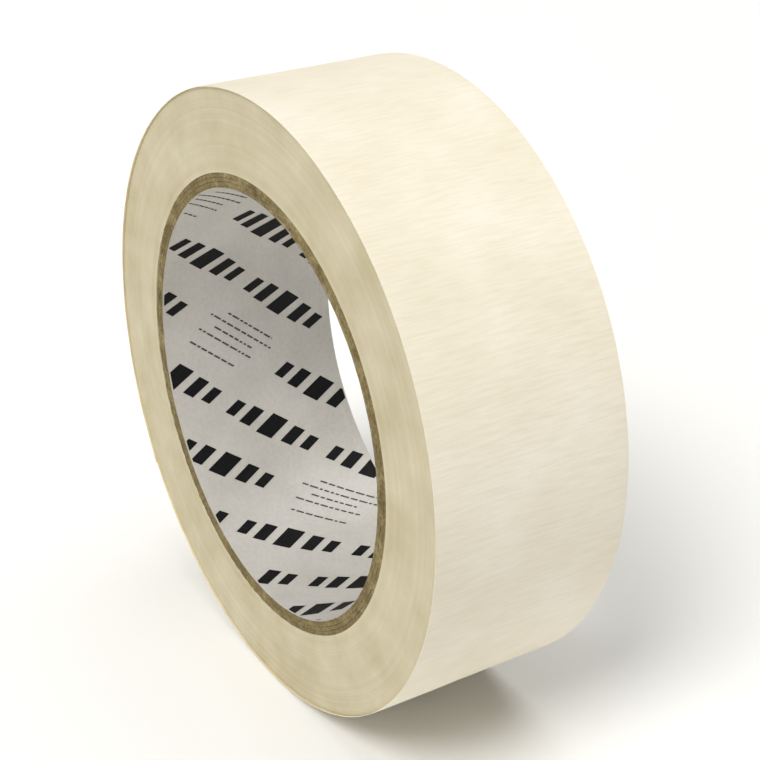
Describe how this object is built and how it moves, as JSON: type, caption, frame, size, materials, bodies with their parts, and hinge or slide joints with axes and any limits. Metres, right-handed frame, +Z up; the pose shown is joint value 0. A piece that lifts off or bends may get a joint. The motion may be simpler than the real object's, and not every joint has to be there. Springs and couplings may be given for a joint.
{
  "type": "masking tape roll",
  "caption": "Roll of crepe-paper masking tape wound on a spiral paperboard core with a lined open bore; the free end peels away.",
  "frame": {"origin": "on the floor, under the middle of the roll, which stands on its rim", "axes": "+Y along the roll's axis, towards the face away from the viewer; +Z up; +X to the right"},
  "size_m": [0.1099, 0.0362, 0.1097],
  "materials": {
    "liner_paper": "satin",
    "core_board": "matte",
    "crepe_paper": "matte"
  },
  "bodies": {
    "roll": {"core_liner": "liner_paper", "core_ply_inner": "core_board", "core_ply_middle": "core_board", "core_ply_outer": "core_board", "tape_winding": "crepe_paper", "tape_last_lap": "crepe_paper"},
    "tail_1": {"tape_tail_1": "crepe_paper"},
    "tail_2": {"tape_tail_2": "crepe_paper"},
    "tail_3": {"tape_tail_3": "crepe_paper"},
    "tail_4": {"tape_tail_4": "crepe_paper"}
  },
  "joints": [
    {"name": "tape_peel", "type": "hinge", "parent": "roll", "child": "tail_1", "pos_m": [-0.05377, 0, 0.06624], "axis": [0, 1, 0], "range_deg": [0, 90]},
    {"name": "tail_bend_2", "type": "hinge", "parent": "tail_1", "child": "tail_2", "pos_m": [-0.05498, 0, 0.05481], "axis": [0, 1, 0], "range_deg": [0, 20]},
    {"name": "tail_bend_3", "type": "hinge", "parent": "tail_2", "child": "tail_3", "pos_m": [-0.05379, 0, 0.04337], "axis": [0, 1, 0], "range_deg": [0, 15]},
    {"name": "tail_bend_4", "type": "hinge", "parent": "tail_3", "child": "tail_4", "pos_m": [-0.05024, 0, 0.03244], "axis": [0, 1, 0], "range_deg": [0, 12]}
  ],
  "couplings": [
    {"joint": "tail_bend_2", "follows": "tape_peel", "ratio": 0.2},
    {"joint": "tail_bend_3", "follows": "tape_peel", "ratio": 0.15},
    {"joint": "tail_bend_4", "follows": "tape_peel", "ratio": 0.12}
  ]
}
